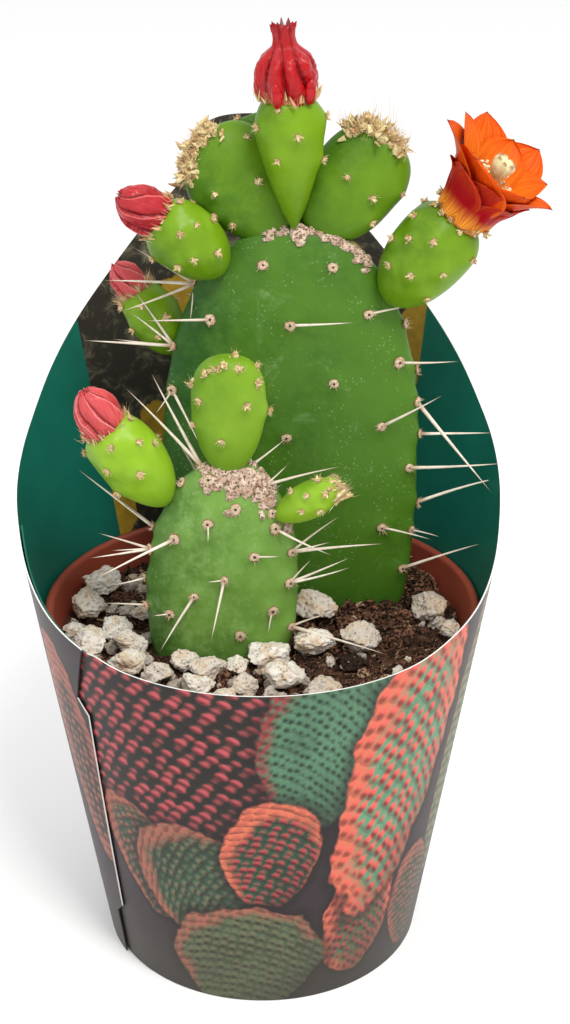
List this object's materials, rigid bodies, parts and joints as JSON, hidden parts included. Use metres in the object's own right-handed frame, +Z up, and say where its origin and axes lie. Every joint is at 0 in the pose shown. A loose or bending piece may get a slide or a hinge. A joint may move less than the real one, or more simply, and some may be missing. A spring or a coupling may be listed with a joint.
{
  "type": "potted paddle cactus",
  "caption": "Young spiny paddle cactus with red buds and one orange flower, growing in a plastic nursery pot that stands in a tapered, printed card sleeve with a tall rounded back.",
  "frame": {"origin": "centre of the pot's underside, on the surface that it stands on", "axes": "+Z up; -Y towards the low front of the sleeve; +X to the viewer's right"},
  "size_m": [0.1278, 0.1236, 0.2244],
  "materials": {
    "printed_card": "semi-gloss printed card, teal green inside, white cut edges",
    "pot_plastic": "satin terracotta-coloured polypropylene",
    "soil": "dark, damp fibrous potting mix",
    "mature_skin": "satin dark green plant skin with pale speckles",
    "young_skin": "satin mid green plant skin",
    "fruit_skin": "satin yellow-green plant skin",
    "bud_skin": "glossy folded red petals",
    "outer_petal": "silky red-orange petal",
    "inner_petal": "silky orange petal, paler at its foot",
    "stamens": "matte cream pollen",
    "style": "satin pale green stigma",
    "pumice": "matte, pitted off-white stone",
    "bark": "matte dark brown bark"
  },
  "bodies": {
    "root": {"card_sleeve": "printed_card", "nursery_pot": "pot_plastic", "potting_soil": "soil", "main_pad": "mature_skin", "front_pad": "mature_skin", "upper_left_pad": "young_skin", "upper_right_pad": "young_skin", "centre_pad": "young_skin", "crown_fruit": "fruit_skin", "right_fruit": "fruit_skin", "left_upper_fruit": "fruit_skin", "left_middle_fruit": "fruit_skin", "left_lower_fruit": "fruit_skin", "side_fruit": "fruit_skin", "crown_bud": "bud_skin", "left_upper_bud": "bud_skin", "left_middle_bud": "bud_skin", "left_lower_bud": "bud_skin", "outer_petal_1": "outer_petal", "outer_petal_2": "outer_petal", "outer_petal_3": "outer_petal", "outer_petal_4": "outer_petal", "outer_petal_5": "outer_petal", "outer_petal_6": "outer_petal", "inner_petal_1": "inner_petal", "inner_petal_2": "inner_petal", "inner_petal_3": "inner_petal", "inner_petal_4": "inner_petal", "inner_petal_5": "inner_petal", "inner_petal_6": "inner_petal", "stamens": "stamens", "style": "style", "bark_chip_1": "bark", "bark_chip_2": "bark", "pumice_stone_01": "pumice", "pumice_stone_02": "pumice", "pumice_stone_03": "pumice", "pumice_stone_04": "pumice", "pumice_stone_05": "pumice", "pumice_stone_06": "pumice", "pumice_stone_07": "pumice", "pumice_stone_08": "pumice", "pumice_stone_09": "pumice", "pumice_stone_10": "pumice", "pumice_stone_11": "pumice", "pumice_stone_12": "pumice", "pumice_stone_13": "pumice", "pumice_stone_14": "pumice", "pumice_stone_15": "pumice", "pumice_stone_16": "pumice", "pumice_stone_17": "pumice", "pumice_stone_18": "pumice", "pumice_stone_19": "pumice", "pumice_stone_20": "pumice", "pumice_stone_21": "pumice", "pumice_stone_22": "pumice", "pumice_stone_23": "pumice", "pumice_stone_24": "pumice", "pumice_stone_25": "pumice"}
  },
  "joints": []
}
